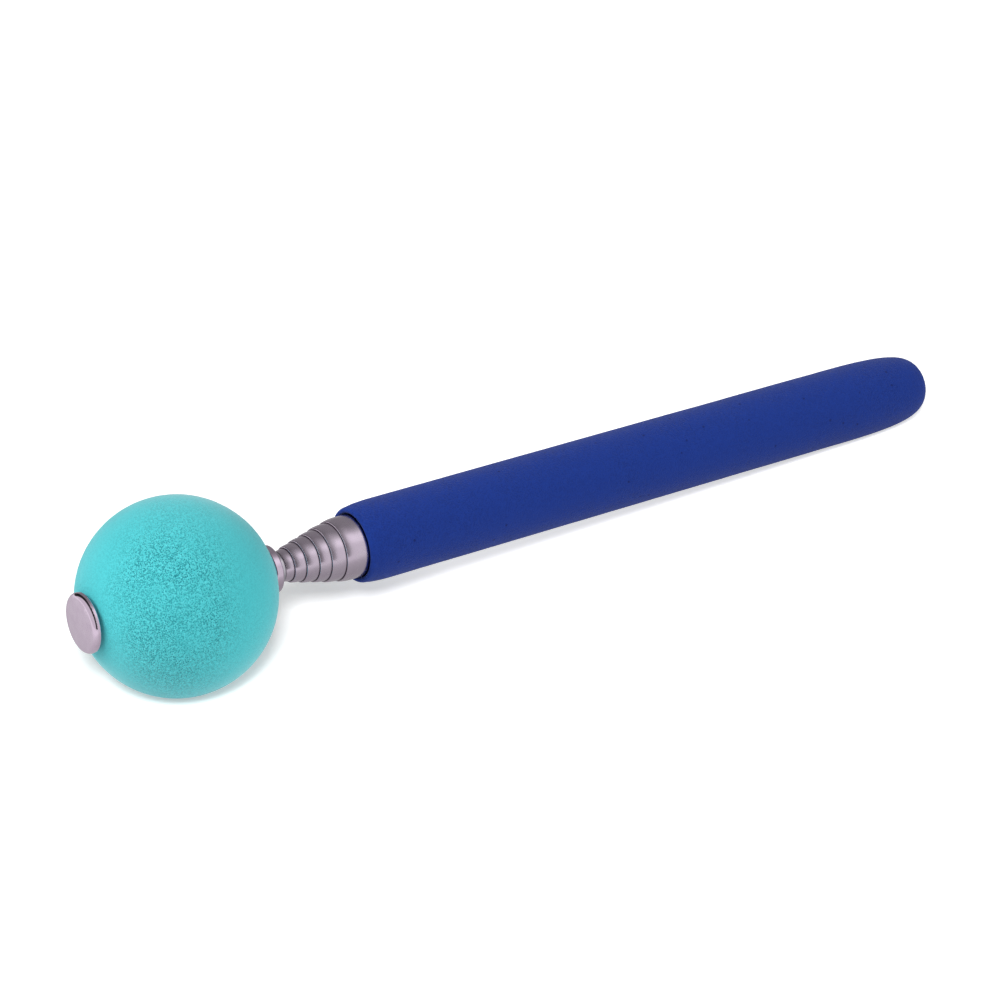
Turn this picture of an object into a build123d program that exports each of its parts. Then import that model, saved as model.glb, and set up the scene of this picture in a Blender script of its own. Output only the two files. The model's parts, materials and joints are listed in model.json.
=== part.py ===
from build123d import *
import os
from math import cos, degrees, radians, sin, sqrt

# A telescopic tapping stick. A foam ball sits on the tip rod; the rod and five steel tubes slide one
# inside the other and out of a foam-covered handle. Millimetres.
#
# Every piece is turned about the tool's own axis, measured by s: zero at the ball's centre, growing
# towards the closed end of the grip. The finished tool is then laid down as it rests on a table, on
# the ball and on the far end of the grip: +X from ball to grip, +Z up, and the origin under the
# middle of its bounding box.

# ---- ball and what clamps it ----
ball_d = 50.0
screw_d = 4.0
screw_grip = 9.0  # length of the screw inside the tip rod
cap_d = 15.3
cap_rim = 1.9  # thickness of the cap at its edge
cap_crown = 0.3  # how far the cap's face bulges beyond its edge
cap_round = 1.2
cap_back_round = 0.3
spacer_wall = 0.95
washer_d = 12.4
washer_t = 2.4
washer_round = 0.55
collar_d = 8.2
collar_t = 1.7
collar_round = 0.35

# ---- telescope ----
rod_d = 6.9
tube_step = 0.79  # each tube's radius over the one inside it
wall = 0.32
neck_in = 0.40  # how far a tube's mouth is drawn in
neck_len = 3.2
lip_round = 0.22
# how much of each tube stands out of the next one's mouth when the stick is closed
exposed = (2.3, 3.0, 3.35, 3.1, 3.9)
stack_len = 74.0  # handle tube's mouth to the stop that the closed tubes rest on

# ---- friction springs ----
spring_len = 8.0
spring_t = 0.33
spring_gap_deg = 24.0
spring_from_end = 1.2  # plain end of the tube behind its spring
pip_d = 1.4
pip_reach = 0.28

# ---- handle ----
grip_d = 20.8
grip_from_mouth = 6.0  # handle tube's mouth to the foam's front edge
grip_len = 188.4
grip_front_round = 1.0  # of the foam's front edge, outside
grip_mouth_round = 0.65  # and inside, round the tube
grip_front_taper = 9.0  # length over which the front end narrows
grip_front_drop = 0.5  # how much it narrows
crown_len = 29.5  # length over which the closed end rounds off
crown_full = 0.765  # fullness of the closed end, as a share of the grip's radius
core_seat = 12.0  # how deep the core plugs into the handle tube
core_wall = 1.9
core_floor = 3.0
core_end_foam = 13.0  # foam beyond the core's end
core_round = 1.6
rib_w = 2.4
rib_pitch = 13.5
rib_h = 0.45

# ---- clearances ----
seat_gap = 0.05  # between pieces that are clamped or stopped end to end
slip = 0.05  # around a piece that slips over another
pip_gap = 0.1  # round a pip in its hole or groove
foam_gap = 0.05

TUBES = len(exposed)
ball_r = ball_d / 2
rod_r = rod_d / 2
spacer_bore_r = screw_d / 2 + slip
spacer_r = spacer_bore_r + spacer_wall
ball_bore_r = spacer_r + foam_gap

# stations along the axis, from the ball towards the grip
pole_s = sqrt(ball_r**2 - ball_bore_r**2)  # where the bore leaves the ball
clamp_s = pole_s + seat_gap
washer_back_s = clamp_s + washer_t
collar_back_s = washer_back_s + collar_t
first_mouth_s = collar_back_s + seat_gap
mouth_s = [first_mouth_s + sum(exposed[:k]) for k in range(TUBES + 1)]
stop_s = mouth_s[-1] + stack_len
core_shoulder_s = stop_s + core_seat
grip_front_s = mouth_s[-1] + grip_from_mouth
grip_end_s = grip_front_s + grip_len
core_end_s = grip_end_s - core_end_foam
tube_end_s = stop_s - seat_gap
spring_back_s = tube_end_s - spring_from_end
pip_s = spring_back_s - spring_len / 2


def tube_radius(k):
    """Outside radius of tube k: 0 is the tip rod, TUBES + 1 the handle tube."""
    return rod_r + k * tube_step


handle_r = tube_radius(TUBES + 1)
handle_bore_r = handle_r - wall


def turned(outline):
    """The solid that a closed half outline in (s, radius) sweeps round the axis."""
    return revolve(make_face(Plane.XZ * outline), Axis.X)


def ring(s0, s1, inner_r, outer_r):
    """A plain tube between two stations."""
    return turned(Polyline((s0, inner_r), (s1, inner_r), (s1, outer_r), (s0, outer_r), close=True))


def rims_at(piece, s):
    """The round edges of a turned piece at one station, the smallest first."""
    rims = piece.edges().filter_by(GeomType.CIRCLE)
    return rims.filter_by(lambda rim: abs(rim.arc_center.X - s) < 0.001).sort_by(lambda rim: rim.radius)


# ---- the head ----
def foam_ball():
    return Sphere(ball_r) - ring(-ball_r, ball_r, 0, ball_bore_r)


def ball_spacer():
    """Keeps the screw from crushing the foam: it carries the clamping force from cap to washer."""
    return ring(-clamp_s, clamp_s, spacer_bore_r, spacer_r)


def front_cap():
    """A wide cap with a bulging face, in one piece with the screw that runs through the ball."""
    back_s = -clamp_s - seat_gap
    edge_s = back_s - cap_rim
    cap_r = cap_d / 2
    outline = Polyline((edge_s, cap_r), (back_s, cap_r), (back_s, 0), (edge_s - cap_crown, 0))
    outline += ThreePointArc(
        (edge_s - cap_crown, 0), (edge_s - cap_crown * 0.75, cap_r / 2), (edge_s, cap_r)
    )
    cap = turned(outline)
    cap = fillet(rims_at(cap, edge_s)[-1], cap_round)
    cap = fillet(rims_at(cap, back_s)[-1], cap_back_round)
    return cap + ring(back_s, washer_back_s + screw_grip, 0, screw_d / 2)


def rear_washer():
    front_s = clamp_s + seat_gap
    washer = ring(front_s, washer_back_s, spacer_bore_r, washer_d / 2)
    outer_rims = [rims_at(washer, front_s)[-1], rims_at(washer, washer_back_s)[-1]]
    return fillet(outer_rims, washer_round)


def tip_collar():
    """Pressed on the rod's end. Its back face meets the first tube's mouth when the stick closes."""
    collar = ring(washer_back_s, collar_back_s, rod_r, collar_d / 2)
    return fillet(rims_at(collar, collar_back_s)[-1], collar_round)


def tip_rod():
    rod = ring(washer_back_s, tube_end_s, 0, rod_r)
    tapped_hole = ring(washer_back_s, washer_back_s + screw_grip + 2, 0, screw_d / 2 + slip)
    groove_r = rod_r + slip - pip_reach - pip_gap
    half_w = pip_d / 2 + pip_gap
    pip_groove = ring(pip_s - half_w, pip_s + half_w, groove_r, rod_r + 1)
    return rod - tapped_hole - pip_groove


# ---- the telescope ----
def drawn_tube(k, end_s):
    """Tube k: a thin wall whose mouth is drawn in to guide the tube that slides inside it."""
    front_s = mouth_s[k - 1]
    neck_s = front_s + neck_len
    outer_r = tube_radius(k)
    inner_r = outer_r - wall
    bore = Line((end_s, inner_r), (neck_s, inner_r))
    bore += TangentArc((neck_s, inner_r), (front_s, inner_r - neck_in), tangent=(-1, 0))
    skin = TangentArc((neck_s, outer_r), (front_s, outer_r - neck_in), tangent=(-1, 0))
    skin += Line((neck_s, outer_r), (end_s, outer_r))
    lip = Line((front_s, inner_r - neck_in), (front_s, outer_r - neck_in))
    back = Line((end_s, inner_r), (end_s, outer_r))
    tube = turned(bore + lip + skin + back)
    return fillet(rims_at(tube, front_s)[-1], lip_round)


def sliding_tube(k):
    """A moving tube, with the two holes that its friction spring's pips sit in."""
    holes = Location((pip_s, 0, 0)) * Rotation(90, 0, 0)
    drill = Cylinder(pip_d / 2 + pip_gap, 4 * tube_radius(k))
    return drawn_tube(k, tube_end_s) - holes * drill


def friction_spring(k):
    """A split brass sleeve round the inner end of piece k, held by two pips that point inwards."""
    inner_r = tube_radius(k) + slip
    sleeve = ring(spring_back_s - spring_len, spring_back_s, inner_r, inner_r + spring_t)
    slot_w = 2 * inner_r * sin(radians(spring_gap_deg) / 2)
    slot = Location((pip_s, 0, inner_r)) * Box(spring_len * 2, slot_w, inner_r)
    sleeve -= slot
    for side in (-1, 1):
        middle_r = inner_r - pip_reach / 2 + spring_t / 4
        pip = Cylinder(pip_d / 2, pip_reach + spring_t / 2)
        sleeve += Location((pip_s, side * middle_r, 0)) * Rotation(90, 0, 0) * pip
    return sleeve


# ---- the handle ----
def handle_core():
    """A moulded tube that closes the handle tube, stops the closed stack and carries the foam."""
    core = ring(stop_s, core_end_s, 0, handle_r)
    core -= ring(stop_s - 1, core_shoulder_s, handle_bore_r - slip, handle_r + 1)
    core -= ring(stop_s + core_floor, core_shoulder_s, 0, handle_bore_r - slip - core_wall)
    core -= ring(core_shoulder_s, core_end_s + 1, 0, handle_bore_r - slip - core_wall)
    core = fillet(rims_at(core, core_end_s)[-1], core_round)
    waist_s = core_shoulder_s + rib_w
    while waist_s + rib_pitch < core_end_s:
        core -= ring(waist_s, waist_s + rib_pitch - rib_w, handle_r - rib_h, handle_r + 1)
        waist_s += rib_pitch
    return core


def crown_curve():
    """Half outline of the grip's closed end, from its straight side to the point on the axis."""
    grip_r = grip_d / 2
    start = (grip_end_s - crown_len, grip_r)
    return Bezier(start, (grip_end_s, grip_r), (grip_end_s, crown_full * grip_r), (grip_end_s, 0))


def foam_grip():
    """A foam sleeve, closed at its far end, stretched over the handle tube and its core."""
    grip_r = grip_d / 2
    bore_r = handle_r + foam_gap
    bore_end_s = core_end_s + seat_gap
    front_r = grip_r - grip_front_drop
    full_s = grip_front_s + grip_front_taper
    outline = Polyline(
        (grip_end_s, 0),
        (bore_end_s, 0),
        (bore_end_s, bore_r),
        (grip_front_s, bore_r),
        (grip_front_s, front_r),
    )
    outline += TangentArc((full_s, grip_r), (grip_front_s, front_r), tangent=(-1, 0))
    outline += Line((full_s, grip_r), (grip_end_s - crown_len, grip_r))
    grip = turned(outline + crown_curve())
    grip = fillet(rims_at(grip, grip_front_s)[-1], grip_front_round)
    return fillet(rims_at(grip, grip_front_s)[0], grip_mouth_round)


# ---- laying it down ----
def resting_tilt():
    """The angle, in radians, at which the ball and the grip's closed end touch the table together."""
    samples = [crown_curve() @ (step / 200) for step in range(201)]
    tilt = 0.0
    for _ in range(20):
        reach = max(point.X * sin(tilt) + point.Y * cos(tilt) for point in samples)
        tilt += (ball_r - reach) / grip_end_s
    return tilt


def all_pieces():
    pieces = {
        "front_cap": front_cap(),
        "foam_ball": foam_ball(),
        "ball_spacer": ball_spacer(),
        "rear_washer": rear_washer(),
        "tip_collar": tip_collar(),
        "tip_rod": tip_rod(),
        "tip_friction_spring": friction_spring(0),
    }
    for k in range(1, TUBES + 1):
        pieces[f"tube_{k}"] = sliding_tube(k)
        pieces[f"friction_spring_{k}"] = friction_spring(k)
    pieces["handle_tube"] = drawn_tube(TUBES + 1, core_shoulder_s)
    pieces["handle_core"] = handle_core()
    pieces["foam_grip"] = foam_grip()
    return pieces


def main():
    tilt = resting_tilt()
    lay_down = Location((0, 0, ball_r)) * Rotation(0, degrees(tilt), 0)
    laid = {name: lay_down * piece for name, piece in all_pieces().items()}
    box = Compound(list(laid.values())).bounding_box()
    to_origin = Location((-box.center().X, 0, 0))
    os.makedirs("parts", exist_ok=True)
    for name, piece in laid.items():
        export_step(to_origin * piece, f"parts/{name}.step")


main()
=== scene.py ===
import json
import math

import bmesh
import bpy
from mathutils import Matrix, Vector, noise


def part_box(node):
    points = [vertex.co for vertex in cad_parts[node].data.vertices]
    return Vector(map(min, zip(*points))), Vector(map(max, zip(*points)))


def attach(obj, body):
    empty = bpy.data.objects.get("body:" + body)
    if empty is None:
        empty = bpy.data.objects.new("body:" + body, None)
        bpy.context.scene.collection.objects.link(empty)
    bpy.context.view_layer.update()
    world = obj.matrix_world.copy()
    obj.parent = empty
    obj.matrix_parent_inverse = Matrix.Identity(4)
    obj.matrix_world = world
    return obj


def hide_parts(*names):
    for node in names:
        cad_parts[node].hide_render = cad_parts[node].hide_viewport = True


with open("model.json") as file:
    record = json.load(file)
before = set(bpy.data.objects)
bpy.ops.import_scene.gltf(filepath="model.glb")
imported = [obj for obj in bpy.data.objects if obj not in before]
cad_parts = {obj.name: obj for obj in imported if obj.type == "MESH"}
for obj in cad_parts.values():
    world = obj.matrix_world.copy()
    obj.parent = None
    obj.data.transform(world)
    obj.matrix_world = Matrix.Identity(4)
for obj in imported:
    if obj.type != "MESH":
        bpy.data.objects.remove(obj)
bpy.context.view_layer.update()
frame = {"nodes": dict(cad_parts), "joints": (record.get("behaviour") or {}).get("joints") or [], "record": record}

MM = 0.001

# ---- the stick's own axis -----------------------------------------------------------------------
# Foam pieces are made along +X from the ball's centre towards the grip's closed end, and then laid
# down on this axis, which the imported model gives.
ball_low, ball_high = (Vector(corner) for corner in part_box("foam_ball"))
BALL_R = (ball_high.z - ball_low.z) / 2
BALL_CENTRE = (ball_low + ball_high) / 2
slide = next(joint for joint in frame["joints"] if joint["type"] == "slide")
TOWARDS_GRIP = -Vector(slide["axis"]).normalized()
TILT = math.asin(-TOWARDS_GRIP.z)
LAY_DOWN = Matrix.Translation(BALL_CENTRE) @ Matrix.Rotation(TILT, 4, "Y")
STAND_UP = LAY_DOWN.inverted()


def along_axis(node):
    """Where a CAD node starts and ends along the axis, and its greatest radius round it."""
    corners = [STAND_UP @ vertex.co for vertex in frame["nodes"][node].data.vertices]
    places = [corner.x for corner in corners]
    return min(places), max(places), max(math.hypot(corner.y, corner.z) for corner in corners)


# ---- building materials -------------------------------------------------------------------------
# the sockets of a Mix node for colours, by number, since its other sockets have the same names
FACTOR, COLOUR_A, COLOUR_B = 0, 6, 7
MIXED_COLOUR = 2
WHITE = (1, 1, 1, 1)


def linear(hex_colour):
    """An sRGB hex colour as linear red, green, blue and alpha."""
    channels = [int(hex_colour[i : i + 2], 16) / 255 for i in (1, 3, 5)]
    return [c / 12.92 if c <= 0.04045 else ((c + 0.055) / 1.055) ** 2.4 for c in channels] + [1.0]


def add_node(tree, kind, sockets, **settings):
    """A node with its properties set. Each input socket is given a value, an output that is linked
    to it, or a node, whose first output is linked to it."""
    node = tree.nodes.new(kind)
    for name, value in settings.items():
        setattr(node, name, value)
    for key, value in sockets.items():
        if isinstance(value, bpy.types.Node):
            value = value.outputs[0]
        if isinstance(value, bpy.types.NodeSocket):
            tree.links.new(value, node.inputs[key])
        else:
            node.inputs[key].default_value = value
    return node


def blank_material(name):
    """A material, its node tree, and the Object coordinates that its patterns read."""
    material = bpy.data.materials.new(name)
    material.use_nodes = True
    tree = material.node_tree
    tree.nodes.clear()
    return material, tree, add_node(tree, "ShaderNodeTexCoord", {}).outputs["Object"]


def per_mm(size_mm):
    """The scale of a pattern whose features are about this many millimetres across."""
    return 1000 / size_mm


# ---- foam ---------------------------------------------------------------------------------------
PATCH_MM = 14.0  # size of the patches in which the foam's skin is more open, or less
BUBBLE_CELL_MM = 5.0  # there is one bubble in each cube of about this size


def foam_rubber(
    name, skin, wall, pore, cell_mm, pore_strength, shine, sheen, pit_mm=None, open_face=None
):
    """Moulded foam rubber. It is dull. Small open cells make fine dark dots between paler cell
    walls, more in some patches than in others. Where pit_mm is given, a few burst bubbles leave
    pits about that wide. Where an open face is given, as the middle, the turn and the half sizes
    of an ellipse, the cells show inside it, on both sides of the piece, and the skin closes up
    outside it, towards the mould's parting line."""
    material, tree, where = blank_material(name)

    # how open the skin is
    patches = add_node(
        tree, "ShaderNodeTexNoise", {"Vector": where, "Scale": per_mm(PATCH_MM), "Detail": 2.0}
    )
    openness = add_node(
        tree,
        "ShaderNodeMapRange",
        {"Value": patches, "From Min": 0.35, "From Max": 0.65, "To Min": 0.6, "To Max": 1.0},
    )
    if open_face:
        middle, turn, half_sizes = open_face
        across = add_node(
            tree,
            "ShaderNodeMapping",
            {"Vector": where, "Location": middle, "Rotation": turn, "Scale": half_sizes},
            vector_type="TEXTURE",
        )
        off_middle = add_node(tree, "ShaderNodeVectorMath", {0: across}, operation="LENGTH")
        closing = add_node(
            tree,
            "ShaderNodeMapRange",
            {
                "Value": off_middle.outputs["Value"],
                "From Min": 0.75,
                "From Max": 1.35,
                "To Min": 1.0,
                "To Max": 0.25,
            },
        )
        openness = add_node(tree, "ShaderNodeMath", {0: openness, 1: closing}, operation="MULTIPLY")

    # Cells about cell_mm across, the dark middle of each one sized by its own random number. Real
    # ones are finer, and these are as coarse as they need to be to show.
    cells = add_node(tree, "ShaderNodeTexVoronoi", {"Vector": where, "Scale": per_mm(cell_mm)})
    open_size = add_node(
        tree,
        "ShaderNodeMapRange",
        {"Value": cells.outputs["Color"], "To Min": 0.2, "To Max": 0.85},
    )
    closeness = add_node(
        tree, "ShaderNodeMath", {0: open_size, 1: cells.outputs["Distance"]}, operation="SUBTRACT"
    )
    pores = add_node(
        tree, "ShaderNodeMapRange", {"Value": closeness, "From Min": -0.1, "From Max": 0.3}
    )
    pores = add_node(tree, "ShaderNodeMath", {0: pores, 1: openness}, operation="MULTIPLY")
    grain = add_node(
        tree, "ShaderNodeTexNoise", {"Vector": where, "Scale": per_mm(cell_mm), "Detail": 3.0}
    )
    walls = add_node(
        tree, "ShaderNodeMapRange", {"Value": grain, "From Min": 0.42, "From Max": 0.7}
    )
    walls = add_node(tree, "ShaderNodeMath", {0: walls, 1: openness}, operation="MULTIPLY")

    dark_spots = [
        add_node(tree, "ShaderNodeMath", {0: pores, 1: pore_strength}, operation="MULTIPLY")
    ]
    if pit_mm:
        # some centimetres apart, since few of the cubes have their bubble right at the skin
        bubbles = add_node(
            tree, "ShaderNodeTexVoronoi", {"Vector": where, "Scale": per_mm(BUBBLE_CELL_MM)}
        )
        pit_r = pit_mm / 2 / BUBBLE_CELL_MM
        pits = add_node(
            tree,
            "ShaderNodeMapRange",
            {"Value": bubbles.outputs["Distance"], "From Min": pit_r, "From Max": 0.6 * pit_r},
        )
        dark_spots.append(pits)

    colour = add_node(
        tree,
        "ShaderNodeMix",
        {FACTOR: walls, COLOUR_A: linear(skin), COLOUR_B: linear(wall)},
        data_type="RGBA",
    )
    for spots in dark_spots:
        colour = add_node(
            tree,
            "ShaderNodeMix",
            {FACTOR: spots, COLOUR_A: colour.outputs[MIXED_COLOUR], COLOUR_B: linear(pore)},
            data_type="RGBA",
        )
    height = add_node(tree, "ShaderNodeMath", {0: walls, 1: pores}, operation="SUBTRACT")
    cell_depth = cell_mm * 0.3 * MM
    bump = add_node(
        tree, "ShaderNodeBump", {"Strength": 0.6, "Distance": cell_depth, "Height": height}
    )
    rubber = add_node(
        tree,
        "ShaderNodeBsdfPrincipled",
        {
            "Base Color": colour.outputs[MIXED_COLOUR],
            "Roughness": 0.9,
            "Specular IOR Level": shine,
            "Sheen Weight": sheen,
            "Sheen Roughness": 0.45,
            "Normal": bump,
        },
    )
    add_node(tree, "ShaderNodeOutputMaterial", {"Surface": rubber})
    return material


# ---- metal and plastic --------------------------------------------------------------------------
LINE_MM = 0.12  # real polishing lines are finer, and these are as coarse as they need to be to show
LINE_STRETCH = 0.02  # scale of the lines' pattern round the stick, against that along it
SMUDGE_MM = 2.5
# a near black, painted into the corners between parts as shade
PAINTED_SHADE_COLOUR = "#1E1A1E"
PLASTIC_GRAIN_MM = 0.3
PLASTIC_GRAIN_DEPTH = 0.03 * MM


def polished_metal(name, colour, roughness, line_depth_mm, corner_shade_mm=None):
    """Polished metal: faint lines that run round the stick, and smudges that dull the shine a
    little. Where a distance for it is given, painted shade darkens its colour towards a near black in
    the corner between a tube's mouth and what slides in it, within about that distance, as ambient occlusion finds
    it."""
    material, tree, where = blank_material(name)
    round_stick = add_node(
        tree,
        "ShaderNodeMapping",
        {
            "Vector": where,
            "Rotation": (0, -TILT, 0),
            "Scale": (1, LINE_STRETCH, LINE_STRETCH),
        },
    )
    lines = add_node(
        tree, "ShaderNodeTexNoise", {"Vector": round_stick, "Scale": per_mm(LINE_MM), "Detail": 3.0}
    )
    smudges = add_node(
        tree, "ShaderNodeTexNoise", {"Vector": where, "Scale": per_mm(SMUDGE_MM), "Detail": 3.0}
    )
    height = add_node(
        tree, "ShaderNodeMath", {0: lines, 1: line_depth_mm * MM}, operation="MULTIPLY"
    )
    bump = add_node(tree, "ShaderNodeBump", {"Strength": 1.0, "Distance": 1.0, "Height": height})
    stain_and_shade = add_node(
        tree,
        "ShaderNodeMix",
        {FACTOR: 0.25, COLOUR_A: linear(colour), COLOUR_B: smudges},
        data_type="RGBA",
        blend_type="SOFT_LIGHT",
    )
    # painted shade: ambient occlusion darkens the colour in the corner between a mouth and what slides in it
    if corner_shade_mm:
        corner = add_node(tree, "ShaderNodeAmbientOcclusion", {"Distance": corner_shade_mm * MM}, samples=8)
        corner_shade = add_node(
            tree,
            "ShaderNodeMapRange",
            {
                "Value": corner.outputs["AO"],
                "From Min": 0.55,
                "From Max": 0.9,
                "To Min": 0.85,
                "To Max": 0.0,
            },
        )
        stain_and_shade = add_node(
            tree,
            "ShaderNodeMix",
            {FACTOR: corner_shade, COLOUR_A: stain_and_shade.outputs[MIXED_COLOUR], COLOUR_B: linear(PAINTED_SHADE_COLOUR)},
            data_type="RGBA",
        )
    shine = add_node(
        tree,
        "ShaderNodeMapRange",
        {
            "Value": smudges,
            "From Min": 0.3,
            "From Max": 0.7,
            "To Min": roughness * 0.75,
            "To Max": roughness * 1.4,
        },
    )
    metal = add_node(
        tree,
        "ShaderNodeBsdfPrincipled",
        {
            "Base Color": stain_and_shade.outputs[MIXED_COLOUR],
            "Metallic": 1.0,
            "Roughness": shine,
            "Normal": bump,
        },
    )
    add_node(tree, "ShaderNodeOutputMaterial", {"Surface": metal})
    return material


def moulded_plastic(name, colour):
    """Plain moulded plastic with a fine matt grain, which breaks up its shine."""
    material, tree, where = blank_material(name)
    grain = add_node(
        tree,
        "ShaderNodeTexNoise",
        {"Vector": where, "Scale": per_mm(PLASTIC_GRAIN_MM), "Detail": 3.0},
    )
    bump = add_node(
        tree,
        "ShaderNodeBump",
        {"Strength": 0.3, "Distance": PLASTIC_GRAIN_DEPTH, "Height": grain},
    )
    tone = add_node(
        tree,
        "ShaderNodeMix",
        {FACTOR: 0.3, COLOUR_A: linear(colour), COLOUR_B: grain},
        data_type="RGBA",
        blend_type="SOFT_LIGHT",
    )
    matt = add_node(
        tree,
        "ShaderNodeMapRange",
        {"Value": grain, "From Min": 0.3, "From Max": 0.7, "To Min": 0.45, "To Max": 0.65},
    )
    plastic = add_node(
        tree,
        "ShaderNodeBsdfPrincipled",
        {"Base Color": tone.outputs[MIXED_COLOUR], "Roughness": matt, "Normal": bump},
    )
    add_node(tree, "ShaderNodeOutputMaterial", {"Surface": plastic})
    return material


# The ball's open cells show most round this direction from its middle, in an upright oval that goes
# right through the ball.
OPEN_TOWARDS = Vector((-0.49, -0.80, 0.36)).to_track_quat("Z", "Y").to_euler()
OPEN_FACE = (BALL_CENTRE, OPEN_TOWARDS, (0.53 * BALL_R, 0.8 * BALL_R, 1000.0))

# soft open foam with a pale haze at its edges
TEAL_FOAM = foam_rubber(
    "teal_foam_rubber",
    skin="#46BBC2",
    wall="#67DCE2",
    pore="#207D87",
    cell_mm=0.32,
    pore_strength=1.1,
    shine=0.12,
    sheen=0.34,
    open_face=OPEN_FACE,
)
# denser foam, almost plain, with a few small pits
BLUE_FOAM = foam_rubber(
    "blue_foam_rubber",
    skin="#1B3585",
    wall="#1F3A8C",
    pore="#132463",
    cell_mm=0.4,
    pore_strength=0.4,
    shine=0.12,
    sheen=0.08,
    pit_mm=0.9,
)
FINISHES = {
    # chrome plate over a turned shape: nearly a mirror, with a slight violet cast
    "chrome": polished_metal("chrome_plate", "#CBBACC", roughness=0.12, line_depth_mm=0.0002),
    # drawn steel tube, polished on a wheel: bright bands along it and soft lines round it, and painted shade in
    # the corners at the mouths
    "tube_steel": polished_metal(
        "polished_steel_tube", "#CBBDCD", roughness=0.22, line_depth_mm=0.0006, corner_shade_mm=0.6
    ),
    # steel as it comes from the lathe: greyer, with rings that blur what it mirrors, and painted shade in the
    # corners beside it
    "steel": polished_metal(
        "turned_steel", "#C4BEC8", roughness=0.3, line_depth_mm=0.0012, corner_shade_mm=0.6
    ),
    # rolled brass strip, bent to a spring: pale gold, half dull
    "brass": polished_metal("rolled_brass", "#D8B777", roughness=0.3, line_depth_mm=0.0012),
    # black plastic from a mould: dull, with a soft even grain
    "core_plastic": moulded_plastic("black_core_plastic", "#1C1C1E"),
}
for subpart in frame["record"]["subparts"]:
    if subpart["material_slot"] in FINISHES:
        node = frame["nodes"][subpart["node"]]
        node.material_slots[0].material = FINISHES[subpart["material_slot"]]


# ---- foam pieces --------------------------------------------------------------------------------
SEAT_ROOM = 0.05 * MM  # between the foam and what it sits on
# how deep and how wide the hollows of the foam's uneven skin are
BALL_HOLLOWS = ((0.03 * MM, 1.4 * MM), (0.05 * MM, 7 * MM))
GRIP_HOLLOWS = ((0.06 * MM, 9 * MM), (0.03 * MM, 3 * MM))


def finish_piece(name, form, material, body, node):
    """Lays a form down on the stick's axis, as the piece that stands for a CAD node."""
    bmesh.ops.transform(form, matrix=LAY_DOWN, verts=form.verts)
    mesh = bpy.data.meshes.new(name)
    form.to_mesh(mesh)
    form.free()
    mesh.polygons.foreach_set("use_smooth", [True] * len(mesh.polygons))
    mesh.materials.append(material)
    piece = bpy.data.objects.new(name, mesh)
    bpy.context.scene.collection.objects.link(piece)
    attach(piece, body)
    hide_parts(node)


def skin_dent(place, hollows):
    """How far the skin lies below its even shape at a place."""
    return max(0.0, sum(depth * noise.noise(place / width) for depth, width in hollows))


def tapping_ball():
    """A ball of foam with a bore through it for the screw's spacer. Its skin is slightly uneven."""
    bore_r = along_axis("ball_spacer")[2] + SEAT_ROOM
    pole = math.sqrt(BALL_R**2 - bore_r**2)
    ball = bmesh.new()
    bmesh.ops.create_icosphere(ball, subdivisions=6, radius=BALL_R)
    for end in (-pole, pole):
        everything = ball.verts[:] + ball.edges[:] + ball.faces[:]
        bmesh.ops.bisect_plane(
            ball, geom=everything, plane_co=(end, 0, 0), plane_no=(end, 0, 0), clear_outer=True
        )
    for vertex in ball.verts:
        if abs(vertex.co.x) < pole - 0.01 * MM:
            vertex.co -= vertex.co.normalized() * skin_dent(vertex.co, BALL_HOLLOWS)
    bmesh.ops.bridge_loops(ball, edges=[edge for edge in ball.edges if edge.is_boundary])
    bmesh.ops.recalc_face_normals(ball, faces=ball.faces)
    finish_piece("tapping_ball", ball, TEAL_FOAM, "head", "foam_ball")


def bezier(steps, *controls):
    """As many points as steps says, on the cubic curve that four control points (along, out) give:
    up to its end, but without its start."""
    a, b, c, d = (Vector((along, 0, out)) for along, out in controls)
    for step in range(1, steps + 1):
        t = step / steps
        yield a * (1 - t) ** 3 + b * 3 * t * (1 - t) ** 2 + c * 3 * t * t * (1 - t) + d * t**3


LIP_INSIDE = 1.3 * MM  # how far behind the front edge the lip starts to roll out of the bore
LIP_OUTSIDE = 1.6 * MM  # and how far behind it the lip ends on the outside
LIP_NOSE = 0.75 * MM  # distance from the bore to the lip's foremost circle
FRONT_TAPER = 9 * MM  # length over which the grip narrows to its front edge
FRONT_DROP = 0.5 * MM  # how much it narrows
STRAIGHT_ROWS = 90  # rings of faces along the straight part
CROWN = 29.5 * MM  # length over which the closed end rounds off
CROWN_FULL = 0.765  # fullness of the closed end, as a share of the radius


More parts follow.
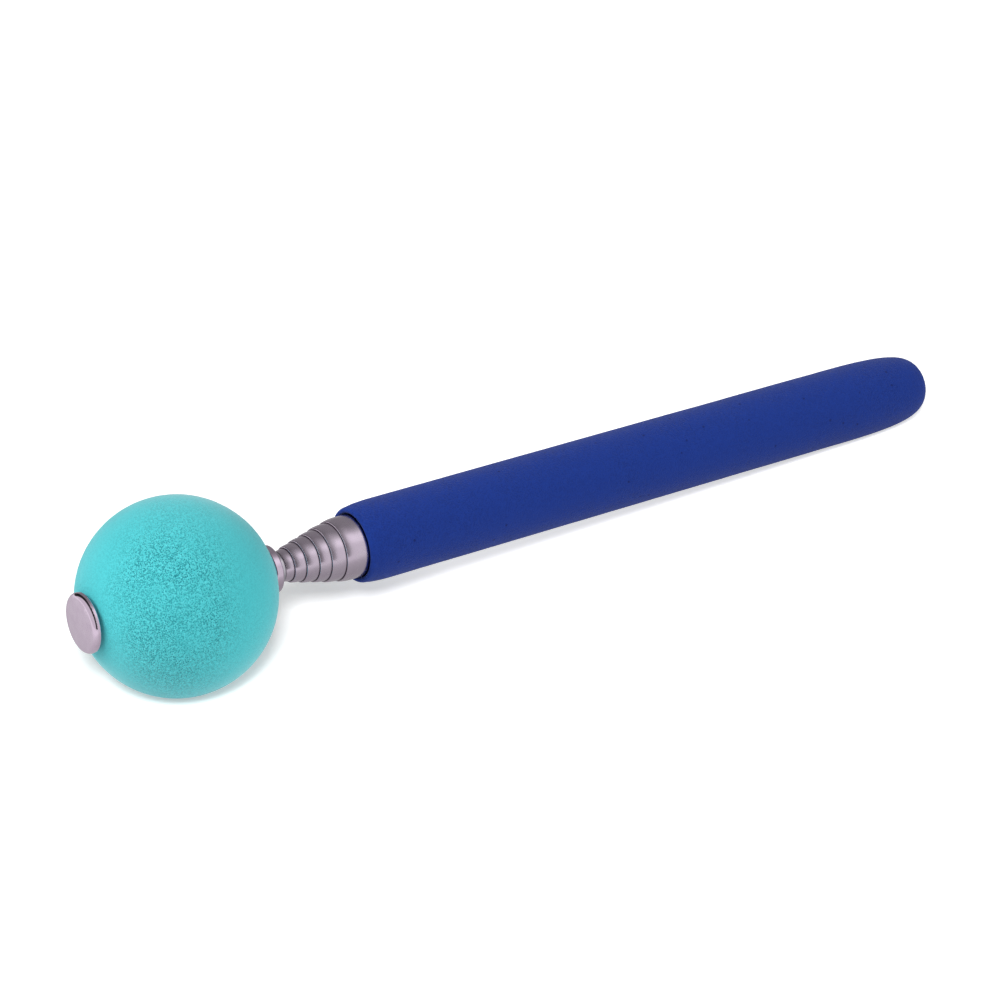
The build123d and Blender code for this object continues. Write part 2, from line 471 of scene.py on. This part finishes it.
def foam_handle():
    """The foam sleeve: a soft rolled lip round the tube, a straight grip and a rounded end."""
    front, end, radius = along_axis("foam_grip")
    bore_r = along_axis("handle_tube")[2] + SEAT_ROOM
    floor = along_axis("handle_core")[1] + SEAT_ROOM
    lip_in, lip_out = front + LIP_INSIDE, front + LIP_OUTSIDE
    lip_r = radius - FRONT_DROP
    nose_r = bore_r + LIP_NOSE
    # From the bore's floor out over the lip to the closed end. Each curve's middle control points
    # keep it flush with what comes before and after it.
    outline = [Vector((floor, 0, 0)), Vector((floor, 0, bore_r)), Vector((lip_in, 0, bore_r))]
    outline += bezier(
        6,
        (lip_in, bore_r),
        (front + 0.5 * MM, bore_r),
        (front, bore_r + 0.3 * MM),
        (front, nose_r),
    )
    outline += bezier(
        8,
        (front, nose_r),
        (front, lip_r - 0.45 * MM),
        (front + 0.5 * MM, lip_r),
        (lip_out, lip_r),
    )
    full = front + FRONT_TAPER
    outline += bezier(
        8,
        (lip_out, lip_r),
        (front + 3 * MM, radius - 0.2 * MM),
        (full - 4 * MM, radius),
        (full, radius),
    )
    crown = end - CROWN
    outline += [
        Vector((full + (crown - full) * row / STRAIGHT_ROWS, 0, radius))
        for row in range(1, STRAIGHT_ROWS + 1)
    ]
    outline += bezier(28, (crown, radius), (end, radius), (end, CROWN_FULL * radius), (end, 0))

    grip = bmesh.new()
    verts = [grip.verts.new(point) for point in outline]
    edges = [grip.edges.new(pair) for pair in zip(verts, verts[1:])]
    bmesh.ops.spin(
        grip,
        geom=verts + edges,
        cent=(0, 0, 0),
        axis=(1, 0, 0),
        angle=math.tau,
        steps=128,
        use_merge=True,
    )
    bmesh.ops.remove_doubles(grip, verts=grip.verts, dist=0.005 * MM)
    for vertex in grip.verts:
        out = Vector((0, vertex.co.y, vertex.co.z))
        if out.length > nose_r:
            vertex.co -= out.normalized() * skin_dent(vertex.co, GRIP_HOLLOWS)
    bmesh.ops.recalc_face_normals(grip, faces=grip.faces)
    finish_piece("foam_handle", grip, BLUE_FOAM, "handle", "foam_grip")


tapping_ball()
foam_handle()


# ---- floor --------------------------------------------------------------------------------------
FLOOR_HALF = 3.0  # metres
# How bright metal mirrors the paper, from one place to another along X or Y: dim round the grip,
# brighter beside the ball, beyond it and out in front, and never more than the last of them.
BESIDE_BALL = {"From Min": -80 * MM, "From Max": -165 * MM, "To Min": 0.45, "To Max": 0.84}
BEYOND_BALL = {"From Min": -165 * MM, "From Max": -210 * MM, "To Min": 0.0, "To Max": 0.35}
IN_FRONT = {"From Min": -15 * MM, "From Max": -120 * MM, "To Min": 0.0, "To Max": 0.45}
MIRRORED_MOST = 1.15
# how much the paper is lifted towards white for camera rays, from the tubes to the grip
LIFT = {"From Min": -55 * MM, "From Max": -20 * MM, "To Min": 0.4, "To Max": 0.62}


def paper_floor():
    """White paper. Camera rays see it lifted to pure white, apart from the object's shadow, which
    is paler under the grip. Metal mirrors it unevenly, as if it were lit in parts."""
    material, tree, where = blank_material("white_paper_floor")
    rays = add_node(tree, "ShaderNodeLightPath", {})
    place = add_node(tree, "ShaderNodeSeparateXYZ", {"Vector": where})
    along, across = place.outputs["X"], place.outputs["Y"]

    beside = add_node(tree, "ShaderNodeMapRange", {"Value": along, **BESIDE_BALL})
    beyond = add_node(tree, "ShaderNodeMapRange", {"Value": along, **BEYOND_BALL})
    in_front = add_node(tree, "ShaderNodeMapRange", {"Value": across, **IN_FRONT})
    mirrored = add_node(tree, "ShaderNodeMath", {0: beside, 1: beyond}, operation="ADD")
    mirrored = add_node(tree, "ShaderNodeMath", {0: mirrored, 1: in_front}, operation="ADD")
    mirrored = add_node(
        tree, "ShaderNodeMath", {0: mirrored, 1: MIRRORED_MOST}, operation="MINIMUM"
    )
    in_metal = add_node(tree, "ShaderNodeEmission", {"Color": WHITE, "Strength": mirrored})

    paper = add_node(tree, "ShaderNodeBsdfDiffuse", {"Color": linear("#E6E6E6")})
    lift = add_node(tree, "ShaderNodeMapRange", {"Value": along, **LIFT})
    lift = add_node(
        tree, "ShaderNodeMath", {0: rays.outputs["Is Camera Ray"], 1: lift}, operation="MULTIPLY"
    )
    glow = add_node(tree, "ShaderNodeEmission", {"Color": WHITE, "Strength": lift})
    seen = add_node(tree, "ShaderNodeAddShader", {0: paper, 1: glow})
    either = add_node(
        tree, "ShaderNodeMixShader", {0: rays.outputs["Is Glossy Ray"], 1: seen, 2: in_metal}
    )
    add_node(tree, "ShaderNodeOutputMaterial", {"Surface": either})

    sheet = bmesh.new()
    bmesh.ops.create_grid(sheet, x_segments=1, y_segments=1, size=FLOOR_HALF)
    mesh = bpy.data.meshes.new("floor")
    sheet.to_mesh(mesh)
    sheet.free()
    mesh.materials.append(material)
    floor = bpy.data.objects.new("floor", mesh)
    bpy.context.scene.collection.objects.link(floor)
    return floor


# ---- studio -------------------------------------------------------------------------------------
EVEN_LIGHT = 0.29  # strength of the soft light that matt surfaces get from all round
# How bright each part of the tent is that metal mirrors, by the cosine between a direction and the
# part's middle. The gap between its halves lies across the stick, a little nearer to the ball's
# side, and the halves are given by how far the cosine to the grip is from the gap's.
GAP_COSINE = -0.15
HALVES = {"From Min": 0.26, "From Max": 0.33, "To Min": 0.04, "To Max": 0.9}
BACK = Vector((0.60, 0.65, 0.47)).normalized()  # the unlit back of the tent
BACK_SHADE = {"From Min": 0.45, "From Max": 0.85, "To Min": 1.0, "To Max": 0.34}
BRIGHTEST = Vector((0.50, -0.45, 0.74)).normalized()  # the part of it that is nearest to its lamp
BRIGHT_PATCH = {"From Min": 0.93, "From Max": 1.0, "To Min": 0.0, "To Max": 0.35}


def studio_world():
    """An even soft light for matt surfaces. Metal mirrors a white tent in two halves, with a dark
    gap between them across the stick, a bright patch and a dim back. The camera sees white."""
    world = bpy.data.worlds.new("studio")
    bpy.context.scene.world = world
    world.use_nodes = True
    tree = world.node_tree
    tree.nodes.clear()
    direction = add_node(tree, "ShaderNodeTexCoord", {}).outputs["Generated"]

    def part_of_tent(middle, strengths):
        """The tent's strength, as the cosine to the part's middle gives it."""
        near = add_node(
            tree, "ShaderNodeVectorMath", {0: direction, 1: middle}, operation="DOT_PRODUCT"
        )
        return add_node(tree, "ShaderNodeMapRange", {"Value": near.outputs["Value"], **strengths})

    from_grip = add_node(
        tree, "ShaderNodeVectorMath", {0: direction, 1: TOWARDS_GRIP}, operation="DOT_PRODUCT"
    )
    off_gap = add_node(
        tree, "ShaderNodeMath", {0: from_grip.outputs["Value"], 1: -GAP_COSINE}, operation="ADD"
    )
    off_gap = add_node(tree, "ShaderNodeMath", {0: off_gap}, operation="ABSOLUTE")
    halves = add_node(tree, "ShaderNodeMapRange", {"Value": off_gap, **HALVES})
    tent = add_node(
        tree, "ShaderNodeMath", {0: halves, 1: part_of_tent(BACK, BACK_SHADE)}, operation="MULTIPLY"
    )
    tent = add_node(
        tree, "ShaderNodeMath", {0: tent, 1: part_of_tent(BRIGHTEST, BRIGHT_PATCH)}, operation="ADD"
    )
    rays = add_node(tree, "ShaderNodeLightPath", {})
    even = add_node(tree, "ShaderNodeBackground", {"Color": WHITE, "Strength": EVEN_LIGHT})
    mirrored = add_node(tree, "ShaderNodeBackground", {"Color": WHITE, "Strength": tent})
    white = add_node(tree, "ShaderNodeBackground", {"Color": WHITE, "Strength": 1.0})
    shown = add_node(
        tree, "ShaderNodeMixShader", {0: rays.outputs["Is Glossy Ray"], 1: even, 2: mirrored}
    )
    shown = add_node(
        tree, "ShaderNodeMixShader", {0: rays.outputs["Is Camera Ray"], 1: shown, 2: white}
    )
    add_node(tree, "ShaderNodeOutputWorld", {"Surface": shown})


LAMP_DISTANCE = 1.3  # metres from the middle of the stick


def softbox(name, round_from_view, height, size, watts):
    """A square lamp with a soft front, aimed at the middle of the stick. Its place is an angle
    round the stick from the camera, to the right, and an angle above the floor, in degrees."""
    turn = VIEW_HEADING + math.pi + math.radians(round_from_view)
    rise = math.radians(height)
    level = math.cos(rise)
    direction = Vector((level * math.cos(turn), level * math.sin(turn), math.sin(rise)))
    lamp = bpy.data.lights.new(name, "AREA")
    lamp.shape = "SQUARE"
    lamp.size = size
    lamp.energy = watts
    box = bpy.data.objects.new(name, lamp)
    box.location = direction * LAMP_DISTANCE
    box.rotation_euler = direction.to_track_quat("Z", "Y").to_euler()
    box.visible_glossy = False  # metal mirrors the tent in front of the lamps
    bpy.context.scene.collection.objects.link(box)
    return box


def light_only(box, floor, link_state):
    """Keeps a lamp's light to the floor, or off it. The paper has its own lamp, as in a studio
    where a background is lit apart from the object, and the object's shadow falls on it from that
    one."""
    lit = bpy.data.collections.new(box.name + "_lights")
    lit.objects.link(floor)
    lit.collection_objects[0].light_linking.link_state = link_state
    box.light_linking.receiver_collection = lit


# ---- camera -------------------------------------------------------------------------------------
VIEW_HEADING = math.radians(55.2)  # from +X towards +Y
VIEW_DROP = math.radians(31.0)
VIEW_DISTANCE = 807.8 * MM
BALL_LEFT = 79.04 * MM  # how far the ball's centre lies left of the view's middle, and below it
BALL_BELOW = 23.52 * MM
FOCAL_LENGTH_MM = 118.94
SENSOR_MM = 36


def place_camera():
    level = math.cos(VIEW_DROP)
    forward = Vector(
        (level * math.cos(VIEW_HEADING), level * math.sin(VIEW_HEADING), -math.sin(VIEW_DROP))
    )
    right = forward.cross(Vector((0, 0, 1))).normalized()
    up = right.cross(forward)
    camera = bpy.data.cameras.new("camera")
    camera.lens = FOCAL_LENGTH_MM
    camera.sensor_width = SENSOR_MM
    view = bpy.data.objects.new("camera", camera)
    view.location = BALL_CENTRE + right * BALL_LEFT + up * BALL_BELOW - forward * VIEW_DISTANCE
    view.rotation_euler = forward.to_track_quat("-Z", "Y").to_euler()
    bpy.context.scene.collection.objects.link(view)
    bpy.context.scene.camera = view


floor = paper_floor()
studio_world()
for box in (
    softbox("left_softbox", round_from_view=-50, height=40, size=0.7, watts=5.6),
    softbox("right_softbox", round_from_view=30, height=40, size=0.7, watts=4.9),
    softbox("left_side_softbox", round_from_view=-84, height=42, size=0.7, watts=9.0),
    softbox("right_side_softbox", round_from_view=90, height=30, size=0.7, watts=5.5),
):
    light_only(box, floor, "EXCLUDE")
paper_lamp = softbox("paper_lamp", round_from_view=-3, height=42, size=0.25, watts=21)
light_only(paper_lamp, floor, "INCLUDE")
place_camera()
bpy.context.scene.view_settings.view_transform = "Standard"
